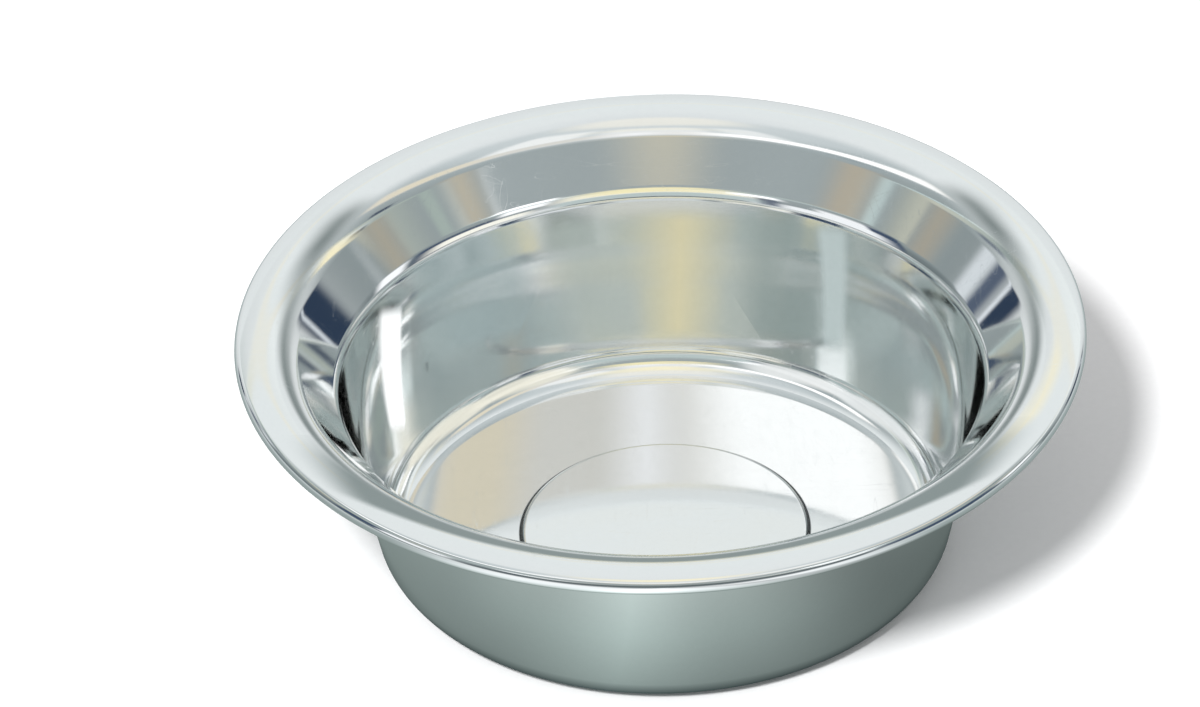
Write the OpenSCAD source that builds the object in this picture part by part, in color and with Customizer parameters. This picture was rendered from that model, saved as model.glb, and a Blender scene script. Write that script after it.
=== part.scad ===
// Stainless steel dog bowl: one round of thin sheet, drawn and polished.
// A turned-over flange, a conical shoulder, a leaning wall with a round
// bottom corner, and a floor that stands on a flat ring round a raised disc.
// Millimetres. Z is up, the origin is the middle of the plane it stands on.

/* [Overall size] */
// Diameter across the outside of the rim
rim_d = 127; // [121:0.5:140]
// Height from the standing plane to the top of the rim
bowl_h = 38.1; // [36:0.1:44]
// Thickness of the sheet
sheet_t = 0.6; // [0.4:0.05:0.7]

/* [Rim] */
// Radius of the crown across the top of the flange
crown_r = 11; // [10:0.5:14]
// Slope of the crown where it meets the outer roll, degrees
crown_out = 15; // [12:1:18]
// Slope of the crown where it meets the inner shoulder, degrees
crown_in = 5; // [3:1:8]
// Outside radius of the rolled edge
roll_r = 1.3; // [1.2:0.05:2]
// How far the rolled edge turns in under the flange, degrees
roll_turn = 165; // [120:5:175]

/* [Shoulder and wall] */
// Radius between the flange and the shoulder
shoulder_r = 7; // [5:0.5:8]
// Lean of the shoulder from upright, degrees
shoulder_lean = 42; // [40:1:46]
// Height of the knee between the shoulder and the wall
knee_h = 29.1; // [28:0.1:31]
// Radius of the knee
knee_r = 4.5; // [3:0.1:6]
// Lean of the wall from upright, degrees
wall_lean = 12; // [8:0.5:14]

/* [Base] */
// Radius of the corner between the wall and the floor
corner_r = 5; // [3:0.5:9]
// Radius of the raised disc in the floor
disc_r = 21; // [17:0.5:24]
// Height of the raised disc above the floor round it
disc_rise = 0.6; // [0.4:0.05:0.9]
// Radius of each bend in the step round the disc
step_r = 0.6; // [0.5:0.05:0.8]

/* [Smoothness] */
// Longest straight allowed on a bend of the section, mm
bend_step = 1; // [0.5:0.1:1.5]

/* [Hidden] */
$fn = 180;
rim_r = rim_d / 2;
half = sheet_t / 2;

// The section is followed along the middle of the sheet, from the axis to the
// raw edge. A bend is [r, z, radius of the middle of the sheet].

// rolled edge
roll_m = roll_r - half;
crown_m = crown_r - half;
roll_c = [rim_r - roll_r, bowl_h - crown_r + (crown_m - roll_m) * cos(crown_out), roll_m];
// crown of the flange
crown_c = [roll_c[0] - (crown_m - roll_m) * sin(crown_out), bowl_h - crown_r, crown_m];
// round shoulder
sh_c = [crown_c[0] - (crown_m - shoulder_r) * sin(crown_in),
        crown_c[1] + (crown_m - shoulder_r) * cos(crown_in), shoulder_r];
// upper end of the straight cone under the shoulder
cone_top = [sh_c[0] - shoulder_r * cos(shoulder_lean), sh_c[1] + shoulder_r * sin(shoulder_lean)];
// where the lines of the cone and the wall cross, and the bend that joins them
knee_p = [cone_top[0] - (cone_top[1] - knee_h) * tan(shoulder_lean), knee_h];
knee_cut = knee_r * tan((shoulder_lean - wall_lean) / 2);
knee_c = [knee_p[0] - knee_cut * sin(wall_lean) + knee_r * cos(wall_lean),
          knee_p[1] - knee_cut * cos(wall_lean) - knee_r * sin(wall_lean), knee_r];
// where the line of the wall would meet the floor, and the round corner there
foot_r = knee_p[0] - (knee_p[1] - half) * tan(wall_lean);
corner_c = [foot_r - corner_r * tan((90 - wall_lean) / 2), half + corner_r, corner_r];
// the step round the raised disc: two equal and opposite bends
step_a = acos(1 - disc_rise / (2 * step_r));
disc_z = half + disc_rise;
step_hi = [disc_r, disc_z - step_r, step_r];
step_lo = [disc_r + 2 * step_r * sin(step_a), half + step_r, step_r];

// Points along a bend from angle a0 to a1, each with the direction of the
// upper side of the sheet: side 1 is a bend that humps up or outward, side -1
// one that is hollow above. The first point is left out when the bend starts
// where the last one ended.
function bend(c, a0, a1, side, first = 0) =
    let (n = max(4, ceil(abs(a1 - a0) * PI / 180 * c[2] / bend_step), ceil(abs(a1 - a0) / 9)))
    [for (i = [first:n]) let (a = a0 + (a1 - a0) * i / n, u = [cos(a), sin(a)])
        [[c[0], c[1]] + c[2] * u, side * u]];

// the whole run of the sheet; straights join the end of one bend to the next
run = concat(
    [[[0, disc_z], [0, 1]]],
    bend(step_hi, 90, 90 - step_a, 1),
    bend(step_lo, 270 - step_a, 270, -1, 1),
    bend(corner_c, 270, 360 - wall_lean, -1),
    bend(knee_c, 180 - wall_lean, 180 - shoulder_lean, 1),
    bend(sh_c, 180 - shoulder_lean, 90 + crown_in, 1),
    bend(crown_c, 90 + crown_in, 90 - crown_out, 1, 1),
    bend(roll_c, 90 - crown_out, -roll_turn, 1, 1));
last = len(run) - 1;

// the section of the sheet: out along its upper side and back along its lower
module section() {
    polygon(concat(
        [for (p = run) p[0] + half * p[1]],
        [for (i = [last:-1:0]) run[i][0] - half * run[i][1]]));
}

// the bowl, drawn from one round of sheet
module bowl() {
    color([0.78, 0.80, 0.79]) rotate_extrude() section();
}

bowl();
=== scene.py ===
"""Looks of the stainless dog bowl: mirror-polished steel on a pale floor."""

import math

import bpy
from mathutils import Matrix, Vector


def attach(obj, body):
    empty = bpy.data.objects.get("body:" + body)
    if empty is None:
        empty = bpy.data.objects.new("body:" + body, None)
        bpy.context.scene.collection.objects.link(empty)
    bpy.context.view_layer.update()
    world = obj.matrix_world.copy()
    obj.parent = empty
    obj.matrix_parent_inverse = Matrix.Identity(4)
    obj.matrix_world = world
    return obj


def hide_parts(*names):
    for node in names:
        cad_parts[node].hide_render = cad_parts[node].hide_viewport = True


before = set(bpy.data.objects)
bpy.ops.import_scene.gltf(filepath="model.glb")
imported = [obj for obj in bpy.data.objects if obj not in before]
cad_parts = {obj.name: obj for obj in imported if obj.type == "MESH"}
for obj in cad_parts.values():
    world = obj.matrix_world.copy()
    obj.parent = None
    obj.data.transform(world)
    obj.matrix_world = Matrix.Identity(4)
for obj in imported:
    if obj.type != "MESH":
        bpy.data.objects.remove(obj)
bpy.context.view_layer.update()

MM = 0.001


# ---------------------------------------------------------------- section
# The section of the sheet, in mm, followed along the middle of the sheet from
# the axis to the raw edge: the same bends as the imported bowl, at a finer step.

RIM_R, BOWL_H, SHEET_T = 63.5, 38.1, 0.6
HALF = SHEET_T / 2
CROWN_R, CROWN_OUT, CROWN_IN = 11.0, 15.0, 5.0
ROLL_R, ROLL_TURN = 1.3, 165.0
SHOULDER_R, SHOULDER_LEAN = 7.0, 42.0
KNEE_H, KNEE_R = 29.1, 4.5
WALL_LEAN, CORNER_R = 12.0, 5.0
DISC_R, DISC_RISE, STEP_R = 21.0, 0.6, 0.6


def sin(a):
    return math.sin(math.radians(a))


def cos(a):
    return math.cos(math.radians(a))


def tan(a):
    return math.tan(math.radians(a))


def section_run():
    """[(r, z, nr, nz)] along the middle of the sheet; (nr, nz) is the upper side's normal."""
    roll_m, crown_m = ROLL_R - HALF, CROWN_R - HALF
    roll = (RIM_R - ROLL_R, BOWL_H - CROWN_R + (crown_m - roll_m) * cos(CROWN_OUT), roll_m)
    crown = (roll[0] - (crown_m - roll_m) * sin(CROWN_OUT), BOWL_H - CROWN_R, crown_m)
    shoulder = (crown[0] - (crown_m - SHOULDER_R) * sin(CROWN_IN),
                crown[1] + (crown_m - SHOULDER_R) * cos(CROWN_IN), SHOULDER_R)
    top = (shoulder[0] - SHOULDER_R * cos(SHOULDER_LEAN), shoulder[1] + SHOULDER_R * sin(SHOULDER_LEAN))
    knee_p = (top[0] - (top[1] - KNEE_H) * tan(SHOULDER_LEAN), KNEE_H)
    cut = KNEE_R * tan((SHOULDER_LEAN - WALL_LEAN) / 2)
    knee = (knee_p[0] - cut * sin(WALL_LEAN) + KNEE_R * cos(WALL_LEAN),
            knee_p[1] - cut * cos(WALL_LEAN) - KNEE_R * sin(WALL_LEAN), KNEE_R)
    foot_r = knee_p[0] - (knee_p[1] - HALF) * tan(WALL_LEAN)
    corner = (foot_r - CORNER_R * tan((90 - WALL_LEAN) / 2), HALF + CORNER_R, CORNER_R)
    step_a = math.degrees(math.acos(1 - DISC_RISE / (2 * STEP_R)))
    disc_z = HALF + DISC_RISE
    hi = (DISC_R, disc_z - STEP_R, STEP_R)
    lo = (DISC_R + 2 * STEP_R * sin(step_a), HALF + STEP_R, STEP_R)

    run = [(0.0, disc_z, 0.0, 1.0)]

    def straight_to(r, z, n):
        """Points on the straight from the last point, closer together at its ends."""
        r0, z0, nr, nz = run[-1]
        for i in range(1, n + 1):
            t = 0.5 - 0.5 * math.cos(math.pi * i / n)
            run.append((r0 + (r - r0) * t, z0 + (z - z0) * t, nr, nz))

    def bend(c, a0, a1, side, step):
        start = (c[0] + c[2] * cos(a0), c[1] + c[2] * sin(a0))
        gap = math.hypot(start[0] - run[-1][0], start[1] - run[-1][1])
        if gap > 1e-6:
            straight_to(start[0], start[1], max(4, min(24, int(gap / 1.0))))
        n = max(4, math.ceil(abs(a1 - a0) / step))
        for i in range(1, n + 1):
            a = a0 + (a1 - a0) * i / n
            run.append((c[0] + c[2] * cos(a), c[1] + c[2] * sin(a), side * cos(a), side * sin(a)))

    bend(hi, 90, 90 - step_a, 1, 6)
    bend(lo, 270 - step_a, 270, -1, 6)
    bend(corner, 270, 360 - WALL_LEAN, -1, 2.0)
    bend(knee, 180 - WALL_LEAN, 180 - SHOULDER_LEAN, 1, 3.0)
    bend(shoulder, 180 - SHOULDER_LEAN, 90 + CROWN_IN, 1, 1.8)
    bend(crown, 90 + CROWN_IN, 90 - CROWN_OUT, 1, 1.0)
    bend(roll, 90 - CROWN_OUT, -ROLL_TURN, 1, 7.0)
    return run


def revolved(name, run, around):
    """The sheet of a section run, turned round the axis, as a closed mesh with the section's own normals."""
    upper = [(r + HALF * nr, z + HALF * nz, nr, nz) for r, z, nr, nz in run]
    lower = [(r - HALF * nr, z - HALF * nz, -nr, -nz) for r, z, nr, nz in reversed(run)]
    # the raw edge is a flat ring of its own between the two sides
    edge = len(upper)
    loop = upper + lower
    loop[0] = (0.0, loop[0][1], 0.0, 1.0)
    loop[-1] = (0.0, loop[-1][1], 0.0, -1.0)
    n = len(loop)
    turn = [(math.cos(2 * math.pi * k / around), math.sin(2 * math.pi * k / around)) for k in range(around)]
    verts, first = [], []
    for i, (r, z, _, _) in enumerate(loop):
        first.append(len(verts))
        if i in (0, n - 1):
            verts.append((0.0, 0.0, z * MM))
        else:
            verts += [(r * c * MM, r * s * MM, z * MM) for c, s in turn]
    faces, normals = [], []

    def at(i, k):
        return first[i] if i in (0, n - 1) else first[i] + k % around

    for i in range(n - 1):
        a, b = loop[i], loop[i + 1]
        if i == edge - 1:
            er, ez = a[3], -a[2]
            side = (b[0] - a[0]) * ez - (b[1] - a[1]) * er
            if side < 0:
                er, ez = -er, -ez
            na = nb = (er, ez)
        else:
            na, nb = (a[2], a[3]), (b[2], b[3])
        for k in range(around):
            c0, s0 = turn[k]
            c1, s1 = turn[(k + 1) % around]
            mid = 2 * math.pi * (k + 0.5) / around
            cm, sm = math.cos(mid), math.sin(mid)
            if i == 0:
                faces.append((at(0, 0), at(1, k), at(1, k + 1)))
                normals += [(0, 0, 1.0), (nb[0] * c0, nb[0] * s0, nb[1]), (nb[0] * c1, nb[0] * s1, nb[1])]
            elif i == n - 2:
                faces.append((at(n - 1, 0), at(i, k + 1), at(i, k)))
                normals += [(0, 0, -1.0), (na[0] * c1, na[0] * s1, na[1]), (na[0] * c0, na[0] * s0, na[1])]
            else:
                faces.append((at(i, k), at(i + 1, k), at(i + 1, k + 1), at(i, k + 1)))
                normals += [(na[0] * c0, na[0] * s0, na[1]), (nb[0] * c0, nb[0] * s0, nb[1]),
                            (nb[0] * c1, nb[0] * s1, nb[1]), (na[0] * c1, na[0] * s1, na[1])]
    mesh = bpy.data.meshes.new(name)
    mesh.from_pydata(verts, [], faces)
    mesh.validate()
    for p in mesh.polygons:
        p.use_smooth = True
    mesh.normals_split_custom_set(normals)
    mesh.update()
    obj = bpy.data.objects.new(name, mesh)
    bpy.context.scene.collection.objects.link(obj)
    return obj


# ---------------------------------------------------------------- nodes
def tree_of(material):
    material.use_nodes = True
    t = material.node_tree
    t.nodes.clear()
    return t


def put(t, kind, **values):
    """A node with its inputs and settings set by name."""
    n = t.nodes.new(kind)
    for k, v in values.items():
        if hasattr(n, k):
            setattr(n, k, v)
        else:
            n.inputs[k.replace("_", " ")].default_value = v
    return n


def math_node(t, op, a, b=None):
    n = t.nodes.new("ShaderNodeMath")
    n.operation = op
    for i, x in enumerate((a, b)):
        if x is None:
            continue
        if isinstance(x, (int, float)):
            n.inputs[i].default_value = x
        else:
            t.links.new(x, n.inputs[i])
    return n.outputs[0]


def combine(t, x, y, z):
    n = put(t, "ShaderNodeCombineXYZ")
    for i, v in enumerate((x, y, z)):
        if isinstance(v, (int, float)):
            n.inputs[i].default_value = v
        else:
            t.links.new(v, n.inputs[i])
    return n.outputs[0]


def noise(t, vector, scale, detail=2.0, roughness=0.5):
    n = put(t, "ShaderNodeTexNoise")
    n.inputs["Scale"].default_value = scale
    n.inputs["Detail"].default_value = detail
    n.inputs["Roughness"].default_value = roughness
    t.links.new(vector, n.inputs["Vector"])
    return n.outputs["Fac"]


def map_range(t, value, a0, a1, b0, b1, smooth=False):
    m = put(t, "ShaderNodeMapRange")
    if smooth:
        m.interpolation_type = "SMOOTHSTEP"
    for k, v in (("From Min", a0), ("From Max", a1), ("To Min", b0), ("To Max", b1)):
        m.inputs[k].default_value = v
    t.links.new(value, m.inputs["Value"])
    return m.outputs[0]


def steel():
    """Mirror-polished sheet: faint turning marks, wiped smears, hairline scratches
    and a thin line of painted shade in the crease round the disc."""
    m = bpy.data.materials.new("polished_steel")
    t = tree_of(m)
    out = put(t, "ShaderNodeOutputMaterial")
    bsdf = put(t, "ShaderNodeBsdfPrincipled")
    bsdf.inputs["Metallic"].default_value = 1.0
    t.links.new(bsdf.outputs[0], out.inputs["Surface"])

    coord = put(t, "ShaderNodeTexCoord")
    to_mm = put(t, "ShaderNodeVectorMath", operation="SCALE")
    to_mm.inputs["Scale"].default_value = 1000.0
    t.links.new(coord.outputs["Object"], to_mm.inputs[0])
    place = to_mm.outputs[0]
    sep = put(t, "ShaderNodeSeparateXYZ")
    t.links.new(place, sep.inputs[0])
    x, y, z = sep.outputs
    flat = combine(t, x, y, 0.0)
    length = put(t, "ShaderNodeVectorMath", operation="LENGTH")
    t.links.new(flat, length.inputs[0])
    r = length.outputs["Value"]
    angle = math_node(t, "ARCTAN2", x, y)

    # where on the run of the sheet, and a seamless way round it
    run = math_node(t, "ADD", r, math_node(t, "MULTIPLY", z, 1.7))
    rings = combine(t, run, math_node(t, "MULTIPLY", math_node(t, "SINE", angle), 1.2),
                    math_node(t, "MULTIPLY", math_node(t, "COSINE", angle), 1.2))
    turning = noise(t, rings, 2.6, 3.0, 0.6)
    smear = noise(t, place, 0.055, 3.0, 0.55)
    fine = noise(t, place, 0.9, 4.0, 0.6)
    wave = noise(t, place, 0.035, 1.0, 0.4)

    # hairlines: thin bright-free cuts where two stretched noises cross a level
    def hairlines(stretch, level, width):
        turned = put(t, "ShaderNodeMapping")
        turned.inputs["Rotation"].default_value = stretch[0]
        turned.inputs["Scale"].default_value = stretch[1]
        t.links.new(place, turned.inputs["Vector"])
        n = noise(t, turned.outputs[0], 0.6, 0.0)
        line = math_node(t, "ABSOLUTE", math_node(t, "SUBTRACT", n, level))
        return map_range(t, line, 0.0, width, 1.0, 0.0)

    cut_a = hairlines(((0.0, 0.0, 0.5), (0.05, 1.4, 0.5)), 0.62, 0.006)
    cut_b = hairlines(((0.3, 0.2, -0.9), (1.2, 0.06, 0.5)), 0.64, 0.006)
    cuts = math_node(t, "MAXIMUM", cut_a, cut_b)

    # painted shade in the crease: a thin dark line in the base colour, also rougher, faint on the far side where the
    # crease catches a highlight and uneven by noise
    crease = map_range(t, math_node(t, "ABSOLUTE", math_node(t, "SUBTRACT", r, DISC_R + 0.75)), 0.18, 0.42, 1.0, 0.0, True)
    inside = map_range(t, z, 1.6, 2.2, 1.0, 0.0)
    upper = map_range(t, z, 0.35, 0.5, 0.0, 1.0)
    from_far_side = math_node(t, "ADD", math_node(t, "ABSOLUTE", math_node(t, "SUBTRACT", angle, 0.10)),
                     math_node(t, "MULTIPLY", noise(t, place, 0.12, 1.0), 0.3))
    shade_fade = map_range(t, from_far_side, 0.40, 0.85, 0.12, 0.95, True)
    crease_shade = math_node(t, "MULTIPLY", math_node(t, "MULTIPLY", crease, inside), math_node(t, "MULTIPLY", upper, shade_fade))

    tone = map_range(t, fine, 0.3, 0.7, 0.985, 1.0)
    tint = put(t, "ShaderNodeMix", data_type="RGBA", blend_type="MULTIPLY")
    tint.inputs["Factor"].default_value = 1.0
    tint.inputs["A"].default_value = (0.855, 0.865, 0.862, 1)
    t.links.new(combine(t, tone, tone, tone), tint.inputs["B"])
    # the painted crease shade darkens the base colour here
    dark = put(t, "ShaderNodeMix", data_type="RGBA")
    t.links.new(crease_shade, dark.inputs["Factor"])
    t.links.new(tint.outputs["Result"], dark.inputs["A"])
    dark.inputs["B"].default_value = (0.035, 0.04, 0.045, 1)
    t.links.new(dark.outputs["Result"], bsdf.inputs["Base Color"])

    rough = math_node(t, "ADD", map_range(t, smear, 0.35, 0.7, 0.035, 0.075), map_range(t, turning, 0.3, 0.7, 0.0, 0.02))
    rough = math_node(t, "ADD", rough, math_node(t, "MULTIPLY", cuts, 0.12))
    rough = math_node(t, "ADD", rough, math_node(t, "MULTIPLY", crease_shade, 0.35))
    t.links.new(rough, bsdf.inputs["Roughness"])

    normal = None
    for height, distance in ((wave, 1.0e-5), (turning, 2.2e-7), (cuts, -4e-7)):
        bump = put(t, "ShaderNodeBump")
        bump.inputs["Strength"].default_value = 1.0
        bump.inputs["Distance"].default_value = distance
        t.links.new(height, bump.inputs["Height"])
        if normal is not None:
            t.links.new(normal, bump.inputs["Normal"])
        normal = bump.outputs[0]
    t.links.new(normal, bsdf.inputs["Normal"])
    return m


# ---------------------------------------------------------------- the bowl
shell = revolved("bowl_shell", section_run(), 360)
shell.data.materials.append(steel())
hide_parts("bowl")
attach(shell, "root")


# ---------------------------------------------------------------- camera
# Fitted to the rim's outline, its tilt and the bowl's base in the photo.
def camera():
    dist, el, scale, u0, v0, roll = 1.5, 35.23, 6.714, 674.2, 328.7, -1.70
    w, h = 1200.0, 707.0
    f = scale * dist / MM
    a, b = dist * cos(el), dist * sin(el) + BOWL_H * MM
    pitch = math.radians(el) - math.atan((v0 - h / 2) / f)
    yaw = -math.atan((u0 - w / 2) / f)
    roll = math.radians(roll)
    fwd = Vector((math.sin(yaw) * math.cos(pitch), math.cos(yaw) * math.cos(pitch), -math.sin(pitch)))
    right = Vector((math.cos(yaw), -math.sin(yaw), 0.0))
    up = right.cross(fwd)
    r2 = math.cos(roll) * right + math.sin(roll) * up
    u2 = -math.sin(roll) * right + math.cos(roll) * up
    data = bpy.data.cameras.new("camera")
    data.sensor_fit = "HORIZONTAL"
    data.sensor_width = 36.0
    data.lens = f * 36.0 / w
    data.clip_start = 0.05
    data.clip_end = 50
    cam = bpy.data.objects.new("camera", data)
    bpy.context.scene.collection.objects.link(cam)
    m = Matrix((r2, u2, -fwd)).transposed().to_4x4()
    m.translation = Vector((0.0, -a, b))
    cam.matrix_world = m
    bpy.context.scene.camera = cam
    return cam


camera()


# ---------------------------------------------------------------- stage
def mesh_plane(name, half_x, half_y, material):
    mesh = bpy.data.meshes.new(name)
    mesh.from_pydata([(-half_x, -half_y, 0), (half_x, -half_y, 0), (half_x, half_y, 0), (-half_x, half_y, 0)],
                     [], [(0, 1, 2, 3)])
    mesh.materials.append(material)
    obj = bpy.data.objects.new(name, mesh)
    bpy.context.scene.collection.objects.link(obj)
    return obj


def mirrors_only(obj):
    """Seen in the polished steel and nowhere else."""
    obj.visible_camera = False
    obj.visible_diffuse = False
    obj.visible_shadow = False
    obj.visible_transmission = False
    obj.visible_volume_scatter = False
    for m in obj.data.materials:
        m.cycles.emission_sampling = "NONE"


def ramp_of(t, value, stops):
    """Colour by value through [(value, colour)]."""
    lo, hi = stops[0][0], stops[-1][0]
    m = put(t, "ShaderNodeMapRange")
    m.inputs["From Min"].default_value = lo
    m.inputs["From Max"].default_value = hi
    t.links.new(value, m.inputs["Value"])
    ramp = put(t, "ShaderNodeValToRGB")
    t.links.new(m.outputs[0], ramp.inputs[0])
    els = ramp.color_ramp.elements
    els[0].position, els[0].color = 0.0, (*stops[0][1], 1)
    els[1].position, els[1].color = 1.0, (*stops[-1][1], 1)
    for v, c in stops[1:-1]:
        els.new((v - lo) / (hi - lo)).color = (*c, 1)
    return ramp.outputs[0]


def soft_step(t, value, edge, soft):
    """1 below edge - soft, 0 above edge + soft."""
    m = put(t, "ShaderNodeMapRange", interpolation_type="SMOOTHSTEP")
    m.inputs["From Min"].default_value = edge - soft
    m.inputs["From Max"].default_value = edge + soft
    m.inputs["To Min"].default_value = 1.0
    m.inputs["To Max"].default_value = 0.0
    t.links.new(value, m.inputs["Value"])
    return m.outputs[0]


def band(t, value, middle, half, soft):
    """1 within half of the middle, 0 beyond, with soft edges."""
    return soft_step(t, math_node(t, "ABSOLUTE", math_node(t, "SUBTRACT", value, float(middle))), half, soft)


def floor_material():
    """Smooth pale board."""
    m = bpy.data.materials.new("pale_floor")
    t = tree_of(m)
    out = put(t, "ShaderNodeOutputMaterial")
    bsdf = put(t, "ShaderNodeBsdfDiffuse")
    coord = put(t, "ShaderNodeTexCoord")
    grain = map_range(t, noise(t, coord.outputs["Object"], 900.0, 4.0, 0.6), 0.3, 0.7, 0.92, 0.94)
    cloud = map_range(t, noise(t, coord.outputs["Object"], 9.0, 2.0), 0.3, 0.7, 0.99, 1.0)
    tone = math_node(t, "MULTIPLY", grain, cloud)
    t.links.new(combine(t, tone, tone, math_node(t, "MULTIPLY", tone, 1.005)), bsdf.inputs["Color"])
    bump = put(t, "ShaderNodeBump")
    bump.inputs["Distance"].default_value = 2e-5
    t.links.new(grain, bump.inputs["Height"])
    t.links.new(bump.outputs[0], bsdf.inputs["Normal"])
    t.links.new(bsdf.outputs[0], out.inputs["Surface"])
    return m


# distance from the middle of the bowl in mm, and the light there
TABLE = [(0, (0.03, 0.04, 0.04)), (41, (0.05, 0.07, 0.07)), (46, (0.22, 0.27, 0.26)),
         (54, (0.33, 0.40, 0.385)), (62, (0.42, 0.49, 0.475)), (76, (0.74, 0.82, 0.82)),
         (105, (1.04, 1.10, 1.12)), (300, (1.12, 1.14, 1.16))]
TABLE_SIDES = [(0, (0.03, 0.04, 0.04)), (41, (0.05, 0.07, 0.07)), (46, (0.22, 0.27, 0.26)),
               (62, (0.31, 0.37, 0.36)), (105, (0.34, 0.40, 0.40)), (300, (0.60, 0.66, 0.67))]


def table_material():
    """What the outside of the bowl mirrors: dim close to it, under the rim, and bright far out."""
    m = bpy.data.materials.new("table_light")
    t = tree_of(m)
    out = put(t, "ShaderNodeOutputMaterial")
    geo = put(t, "ShaderNodeNewGeometry")
    length = put(t, "ShaderNodeVectorMath", operation="LENGTH")
    t.links.new(geo.outputs["Position"], length.inputs[0])
    out_mm = math_node(t, "MULTIPLY", length.outputs["Value"], 1000.0)
    sep = put(t, "ShaderNodeSeparateXYZ")
    t.links.new(geo.outputs["Position"], sep.inputs[0])
    turn = math_node(t, "MULTIPLY", math_node(t, "ABSOLUTE", math_node(
        t, "ARCTAN2", sep.outputs[0], math_node(t, "MULTIPLY", sep.outputs[1], -1.0))), 180 / math.pi)
    lit = put(t, "ShaderNodeMix", data_type="RGBA")
    t.links.new(soft_step(t, turn, 46, 16), lit.inputs["Factor"])
    t.links.new(ramp_of(t, out_mm, TABLE_SIDES), lit.inputs["A"])
    t.links.new(ramp_of(t, out_mm, TABLE), lit.inputs["B"])
    colour = lit.outputs["Result"]
    side = math_node(t, "MULTIPLY", sep.outputs[0], 1000.0)
    glow = math_node(t, "MULTIPLY", band(t, side, -9, 8, 16), 0.62)
    dim = math_node(t, "MULTIPLY", band(t, side, 46, 18, 18), -0.42)
    gain = math_node(t, "ADD", math_node(t, "ADD", glow, dim), 1.0)
    emit = put(t, "ShaderNodeEmission")
    t.links.new(colour, emit.inputs["Color"])
    t.links.new(gain, emit.inputs["Strength"])
    t.links.new(emit.outputs[0], out.inputs["Surface"])
    return m


floor = mesh_plane("floor", 4, 4, floor_material())
floor.location.z = -0.0002
floor.visible_glossy = False
table = mesh_plane("table_light", 4, 4, table_material())
table.location.z = -0.0001
mirrors_only(table)


def card(name, x, y, z, half_w, half_h, soft_w, soft_h, colour, turn=0, strength=1.0, tilt=90, beam=0.55, spin=0):
    """An upright card with soft edges, in mm, that only its front side shows: -Y, turned about the
    vertical by turn degrees and in its own plane by spin. At a tilt of 180 it faces down."""
    m = bpy.data.materials.new(name)
    t = tree_of(m)
    out = put(t, "ShaderNodeOutputMaterial")
    coord = put(t, "ShaderNodeTexCoord")
    sep = put(t, "ShaderNodeSeparateXYZ")
    t.links.new(coord.outputs["Object"], sep.inputs[0])
    mask = math_node(t, "MULTIPLY", band(t, sep.outputs[0], 0, half_w * MM, soft_w * MM),
                     band(t, sep.outputs[1], 0, half_h * MM, soft_h * MM))
    geo = put(t, "ShaderNodeNewGeometry")
    front = math_node(t, "SUBTRACT", 1.0, geo.outputs["Backfacing"])
    # a honeycomb in front of it lets only light out that leaves nearly straight ahead
    weight = put(t, "ShaderNodeLayerWeight")
    weight.inputs["Blend"].default_value = 0.5
    ahead = soft_step(t, weight.outputs["Facing"], beam, beam * 0.3)
    mask = math_node(t, "MULTIPLY", math_node(t, "MULTIPLY", mask, front), math_node(t, "MULTIPLY", ahead, strength))
    clear = put(t, "ShaderNodeBsdfTransparent")
    emit = put(t, "ShaderNodeEmission")
    emit.inputs["Color"].default_value = (*colour, 1)
    mix = put(t, "ShaderNodeMixShader")
    t.links.new(mask, mix.inputs[0])
    t.links.new(clear.outputs[0], mix.inputs[1])
    t.links.new(emit.outputs[0], mix.inputs[2])
    t.links.new(mix.outputs[0], out.inputs["Surface"])
    obj = mesh_plane(name, (half_w + soft_w) * MM, (half_h + soft_h) * MM, m)
    obj.location = (x * MM, y * MM, z * MM)
    way = (Matrix.Rotation(math.radians(turn), 3, "Z") @ Matrix.Rotation(math.radians(tilt), 3, "X")
           @ Matrix.Rotation(math.radians(spin), 3, "Z"))
    obj.rotation_euler = way.to_euler()
    mirrors_only(obj)
    return obj


# dark flags close to the rim give its inner side a dark edge, as round the mouth of any polished bowl
card("flag_front", 0, -25, 47, 50, 8, 7, 3, (0.30, 0.35, 0.35))
card("flag_left", -38, 40, 52, 9, 7, 8, 5, (0.24, 0.28, 0.28))
card("flag_right", 38, 40, 52, 9, 7, 8, 5, (0.24, 0.28, 0.28))
card("flag_near", 0, -80, 43, 62, 6, 10, 5, (0.12, 0.15, 0.16), turn=180)
# a warm lamp low behind the bowl, seen in the far wall
card("warm_lamp", 1, 66, 85, 17, 10, 7, 2, (1.08, 1.00, 0.68), beam=0.30)
card("warm_lamp_side", 46, 67, 93, 24, 9, 10, 3, (1.10, 1.01, 0.70), turn=-33, beam=0.30)
card("warm_card", 2, 0, 60, 16, 12, 14, 4, (1.00, 0.92, 0.62))
card("warm_card_back", 0, 0, 61, 12, 10, 8, 3, (1.05, 0.96, 0.60), turn=180)
card("warm_panel", 0, -20, 100, 14, 50, 18, 10, (1.10, 1.02, 0.74), tilt=180, beam=0.07)
# low strips across the bowl, seen in the bottom corner on either side
card("strip_right", 36, 4, 46, 20, 8, 7, 3, (1.12, 1.10, 1.00), turn=-90)
card("strip_left", -36, 4, 46, 20, 8, 7, 3, (1.04, 1.07, 1.10), turn=90)
# a bright narrow window edge low on the left, seen as a white leaf in the left wall
card("leaf_left", -36.98, 22.09, 15.38, 1.05, 8.8, 0.25, 1.2, (1.28, 1.29, 1.30), turn=-67, tilt=68, beam=0.05, spin=18.8)
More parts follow.
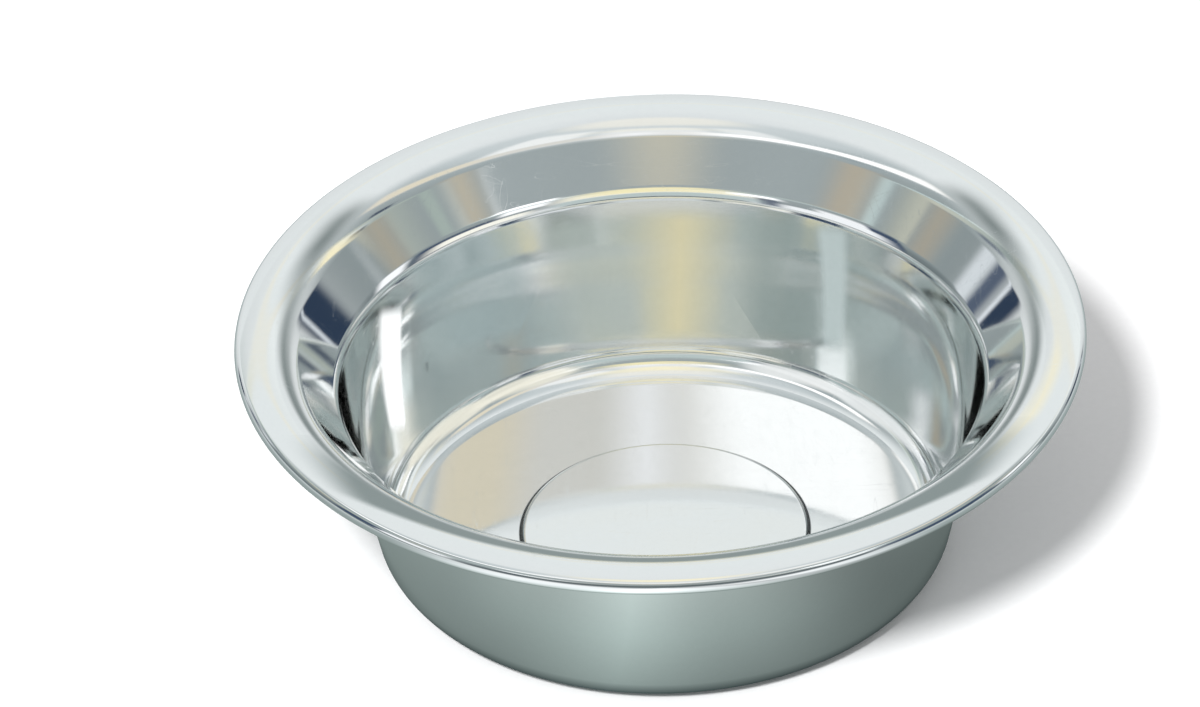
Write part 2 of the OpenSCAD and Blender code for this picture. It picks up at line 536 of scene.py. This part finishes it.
# and small ones over the floor, seen in the bottom corner at the back
card("corner_left_a", -23.9, 26.8, 6.2, 6, 3, 3, 2, (1.02, 0.99, 0.86), turn=-83, tilt=113, strength=0.85, beam=0.07)
card("corner_left_b", -13.8, 32.1, 7.9, 6, 3, 3, 2, (1.00, 0.97, 0.84), turn=-121, tilt=123, strength=0.85, beam=0.07)
card("corner_right_a", 13.8, 32.1, 7.9, 6, 3, 3, 2, (0.98, 1.00, 1.00), turn=121, tilt=123, strength=0.85, beam=0.07)
card("corner_right_b", 23.9, 26.8, 6.2, 6, 3, 3, 2, (0.96, 0.99, 1.00), turn=83, tilt=113, strength=0.85, beam=0.07)
# soft panels close to the back wall give it one even tone from the knee to the corner, with a
# warm glow in the middle and a bright strip on the right
card("panel_mid", 0.7, 38.4, 14.6, 13, 9.5, 4, 1.5, (0.47, 0.53, 0.50), turn=178, tilt=79, strength=0.8, beam=0.28)
card("panel_glow", 2.4, 38.8, 14.7, 2.5, 9.5, 4.5, 1.5, (0.82, 0.74, 0.46), turn=178, tilt=79, strength=0.9, beam=0.28)
card("panel_left", -21.2, 34.5, 18.7, 6, 8.5, 3, 1.5, (0.37, 0.46, 0.47), turn=-115, tilt=76, strength=0.75, beam=0.12)
card("panel_right", 16.4, 36.0, 16.2, 6.5, 9.0, 3, 1.5, (0.31, 0.38, 0.37), turn=129, tilt=77, strength=0.75, beam=0.15)
card("panel_strip", 19.0, 33.5, 16.3, 1.1, 9.0, 0.5, 1.5, (0.58, 0.67, 0.67), turn=129, tilt=77, strength=0.9, beam=0.15, spin=-14)
# and a grey one low in front, seen in the bottom corner of the near wall
card("flag_low", 0, -64, 61, 60, 15, 10, 4, (0.55, 0.64, 0.64), turn=180)


# ---------------------------------------------------------------- world
# The studio round the bowl, by direction: az 0 is +Y, 90 is +X and 180 is the
# camera's side; el is the height above the horizon, both in degrees.
BACK = [(-5, (0.78, 0.81, 0.82)), (20, (0.83, 0.87, 0.88)), (36, (0.88, 0.93, 0.94)),
        (60, (0.88, 0.92, 0.93)), (90, (0.79, 0.83, 0.85))]
SIDES = [(-5, (0.14, 0.17, 0.18)), (14, (0.20, 0.24, 0.25)), (24, (0.31, 0.36, 0.37)), (40, (0.36, 0.41, 0.42)),
         (50, (0.42, 0.48, 0.50)), (64, (0.63, 0.69, 0.71)), (90, (0.77, 0.82, 0.84))]
CAMERA = [(-5, (1.0, 1.03, 1.05)), (8, (0.9, 0.93, 0.95)), (16, (0.34, 0.38, 0.40)), (38, (0.40, 0.45, 0.46)),
          (49, (0.38, 0.43, 0.44)), (56, (0.60, 0.65, 0.66)), (64, (0.66, 0.72, 0.74)), (90, (0.77, 0.82, 0.84))]
# (middle az, half width, softness, middle el, half height, softness, colour, strength)
WALLS = [
    (180, 34, 10, 24, 9, 2, (1.02, 1.02, 0.98), 1.0),     # bright wall behind the camera
]
CARDS = [
    (-134, 14, 7, 66, 7, 3, (0.93, 0.96, 0.97), 1.0),      # high windows on both sides of the camera
    (124, 22, 8, 64, 9, 3, (1.00, 1.02, 1.02), 1.0),
    (180, 26, 8, 64, 9, 3, (0.93, 0.95, 0.95), 1.0),
    (-98, 14, 9, 53, 5, 4, (0.30, 0.36, 0.38), 0.9),
    (-176, 16, 16, 51.5, 2, 2, (0.74, 0.67, 0.50), 0.85),  # warm walls under them
    (110, 4, 8, 39.5, 2, 2, (0.64, 0.55, 0.40), 0.85),
    (-110, 8, 8, 38.5, 2.5, 2, (0.52, 0.46, 0.36), 0.85),
    (81, 4, 6, 27, 3, 2, (0.48, 0.43, 0.33), 0.8),
    (-80, 4, 6, 26, 3, 2, (0.46, 0.41, 0.32), 0.8),
    (131, 12, 3, 38.5, 2.6, 0.8, (1.60, 1.62, 1.64), 1.0), # window low on the right
    (133, 9, 3, 28, 5, 1, (1.20, 1.22, 1.24), 1.0),
    (-146, 9, 4, 29, 3.5, 1.5, (1.45, 1.47, 1.50), 1.0),
    (-112, 12, 3, 18, 9, 3, (1.05, 1.07, 1.10), 1.0),      # window low on the left
    (-97, 7, 2, 18, 10, 3, (0.06, 0.09, 0.15), 1.0),       # dark frames beside the windows
    (107, 17, 5, 15, 10, 3, (0.06, 0.09, 0.15), 1.0),
    (-142, 4, 2, 15, 10, 3, (0.12, 0.15, 0.21), 0.9),
    (78, 5, 2, 38.5, 1.4, 0.8, (0.04, 0.06, 0.11), 0.9),
    (72, 4, 2, 30, 1.5, 1, (0.04, 0.06, 0.11), 0.9),
    (-56, 7, 4, 28, 2, 2, (0.10, 0.13, 0.19), 0.8),
    (50, 8, 3, 8, 5.5, 2, (0.03, 0.05, 0.09), 1.0),
    (45, 0.8, 0.8, 8, 5, 2, (0.70, 0.75, 0.80), 1.0),
    (-46, 4, 2, 5, 6, 2, (0.03, 0.05, 0.09), 1.0),
    (-49.5, 0.8, 0.8, 8, 5, 2, (0.80, 0.85, 0.90), 1.0),
    (-55, 3, 2, 11, 4, 2, (0.10, 0.13, 0.19), 1.0),
    (-61, 3, 2, 15, 4, 2, (0.74, 0.79, 0.83), 1.0),
    (80, 7, 3, 14, 8, 2, (1.15, 1.17, 1.20), 1.0),
    (0, 180, 1, 90, 11, 4, (1.00, 0.98, 0.90), 0.8),       # ceiling panel straight above
]
# lights along the level 35 degrees up, all round, seen in the lower wall, and
# those just above and below it, seen in the upper wall: (az, colour)
LEVEL = [(-180, (0.42, 0.51, 0.52)), (-145, (0.50, 0.60, 0.61)), (-110, (0.56, 0.67, 0.67)), (-80, (0.62, 0.74, 0.74)),
         (-50, (0.76, 0.83, 0.80)), (-22, (0.84, 0.86, 0.78)), (-8, (0.92, 0.92, 0.84)), (8, (0.93, 0.93, 0.85)),
         (22, (0.93, 0.92, 0.84)), (40, (0.90, 0.89, 0.80)), (49, (0.76, 0.77, 0.68)), (66, (0.58, 0.62, 0.55)),
         (97, (0.42, 0.50, 0.46)), (115, (0.44, 0.51, 0.51)), (119, (1.14, 1.24, 1.25)), (148, (1.10, 1.20, 1.20)),
         (154, (0.50, 0.58, 0.58)), (180, (0.42, 0.51, 0.52))]
ABOVE = [(-180, (0.48, 0.56, 0.55)), (-110, (0.48, 0.54, 0.52)), (0, (0.80, 0.86, 0.86)), (100, (0.50, 0.56, 0.55)),
         (118, (0.76, 0.84, 0.82)), (145, (0.66, 0.72, 0.68)), (180, (0.48, 0.56, 0.55))]
BELOW = [(-100, (0.44, 0.45, 0.38)), (-80, (0.60, 0.62, 0.54)), (-45, (0.44, 0.52, 0.50)), (-15, (0.80, 0.84, 0.85)),
         (20, (0.95, 1.00, 1.00)), (60, (0.95, 1.00, 1.00)), (80, (0.42, 0.48, 0.46)), (100, (0.42, 0.46, 0.42))]
# the same along the arc that the bowl's floor mirrors by way of the wall:
# (middle az, half width, softness, colour)
ARC = [
    (180, 180, 10, (0.80, 0.79, 0.75)),
    (82, 24, 16, (0.87, 0.80, 0.64)),
    (-108, 52, 26, (1.36, 1.37, 1.38)),
    (172, 12, 16, (1.08, 1.09, 1.11)),
]


def world_light():
    world = bpy.data.worlds.new("studio")
    bpy.context.scene.world = world
    world.use_nodes = True
    t = world.node_tree
    t.nodes.clear()
    out = put(t, "ShaderNodeOutputWorld")
    coord = put(t, "ShaderNodeTexCoord")
    sep = put(t, "ShaderNodeSeparateXYZ")
    t.links.new(coord.outputs["Generated"], sep.inputs[0])
    x, y, z = sep.outputs
    deg = 180 / math.pi
    az = math_node(t, "MULTIPLY", math_node(t, "ARCTAN2", x, y), deg)
    el = math_node(t, "MULTIPLY", math_node(t, "ARCSINE", z), deg)

    def away(middle):
        """How far the azimuth is from the middle one, 0 to 180."""
        n = t.nodes.new("ShaderNodeMath")
        n.operation = "WRAP"
        t.links.new(math_node(t, "SUBTRACT", az, float(middle)), n.inputs[0])
        n.inputs[1].default_value = 180
        n.inputs[2].default_value = -180
        return math_node(t, "ABSOLUTE", n.outputs[0])

    def over(below, colour, mask):
        mix = put(t, "ShaderNodeMix", data_type="RGBA")
        t.links.new(mask, mix.inputs["Factor"])
        t.links.new(below, mix.inputs["A"])
        if isinstance(colour, tuple):
            mix.inputs["B"].default_value = (*colour, 1)
        else:
            t.links.new(colour, mix.inputs["B"])
        return mix.outputs["Result"]

    turn = away(0)
    light = over(ramp_of(t, el, CAMERA), ramp_of(t, el, SIDES), soft_step(t, turn, 128, 22))
    light = over(light, ramp_of(t, el, BACK), soft_step(t, turn, 52, 22))
    beyond = math_node(t, "SUBTRACT", 1.0, soft_step(t, turn, 106, 5))

    def with_cards(light, cards):
        for az0, half_w, soft_w, el0, half_h, soft_h, colour, strength in cards:
            mask = math_node(t, "MULTIPLY", soft_step(t, away(az0), half_w, soft_w), band(t, el, el0, half_h, soft_h))
            if strength != 1.0:
                mask = math_node(t, "MULTIPLY", mask, strength)
            light = over(light, colour, mask)
        return light

    light = with_cards(light, WALLS)
    light = over(light, ramp_of(t, az, BELOW), math_node(t, "MULTIPLY", band(t, el, 31.5, 2.6, 0.5), soft_step(t, turn, 92, 6)))
    light = over(light, ramp_of(t, az, ABOVE), math_node(t, "MULTIPLY", band(t, el, 37.1, 0.9, 0.4), beyond))
    light = over(light, ramp_of(t, az, LEVEL), band(t, el, 35.1, 0.8, 0.4))
    light = with_cards(light, CARDS)
    # the arc lies 60 degrees up at the camera's side and lower round the sides
    rest = math_node(t, "MULTIPLY", math_node(t, "SUBTRACT", 180.0, turn), 1 / 115)
    lift = math_node(t, "ADD", el, math_node(t, "MULTIPLY", math_node(t, "POWER", rest, 1.6), 10.0))
    on_arc = math_node(t, "MULTIPLY", band(t, lift, 60, 3.2, 1.6),
                       math_node(t, "SUBTRACT", 1.0, soft_step(t, turn, 58, 5)))
    for az0, half_w, soft_w, colour in ARC:
        light = over(light, colour, math_node(t, "MULTIPLY", on_arc, soft_step(t, away(az0), half_w, soft_w)))

    # mirrors see that studio; the floor and the camera see plain white
    path = put(t, "ShaderNodeLightPath")
    seen = put(t, "ShaderNodeBackground")
    t.links.new(light, seen.inputs["Color"])
    plain = put(t, "ShaderNodeBackground")
    plain.inputs["Color"].default_value = (1.0, 1.0, 1.0, 1)
    fill = put(t, "ShaderNodeBackground")
    fill.inputs["Color"].default_value = (1.0, 1.0, 1.0, 1)
    fill.inputs["Strength"].default_value = 0.62
    matt = put(t, "ShaderNodeMixShader")
    t.links.new(path.outputs["Is Camera Ray"], matt.inputs[0])
    t.links.new(fill.outputs[0], matt.inputs[1])
    t.links.new(plain.outputs[0], matt.inputs[2])
    mix = put(t, "ShaderNodeMixShader")
    t.links.new(path.outputs["Is Glossy Ray"], mix.inputs[0])
    t.links.new(matt.outputs[0], mix.inputs[1])
    t.links.new(seen.outputs[0], mix.inputs[2])
    t.links.new(mix.outputs[0], out.inputs["Surface"])


world_light()


def sun():
    """A soft key light from the left of the camera, for the bowl's shadow."""
    data = bpy.data.lights.new("key", "SUN")
    data.energy = 3.3
    data.angle = math.radians(9)
    obj = bpy.data.objects.new("key", data)
    bpy.context.scene.collection.objects.link(obj)
    to = Vector((12.0, 32.5, -37.0)).normalized()
    obj.rotation_mode = "QUATERNION"
    obj.rotation_quaternion = to.to_track_quat("-Z", "Y")
    obj.visible_glossy = False
    return obj


sun()

bpy.context.scene.view_settings.view_transform = "Standard"
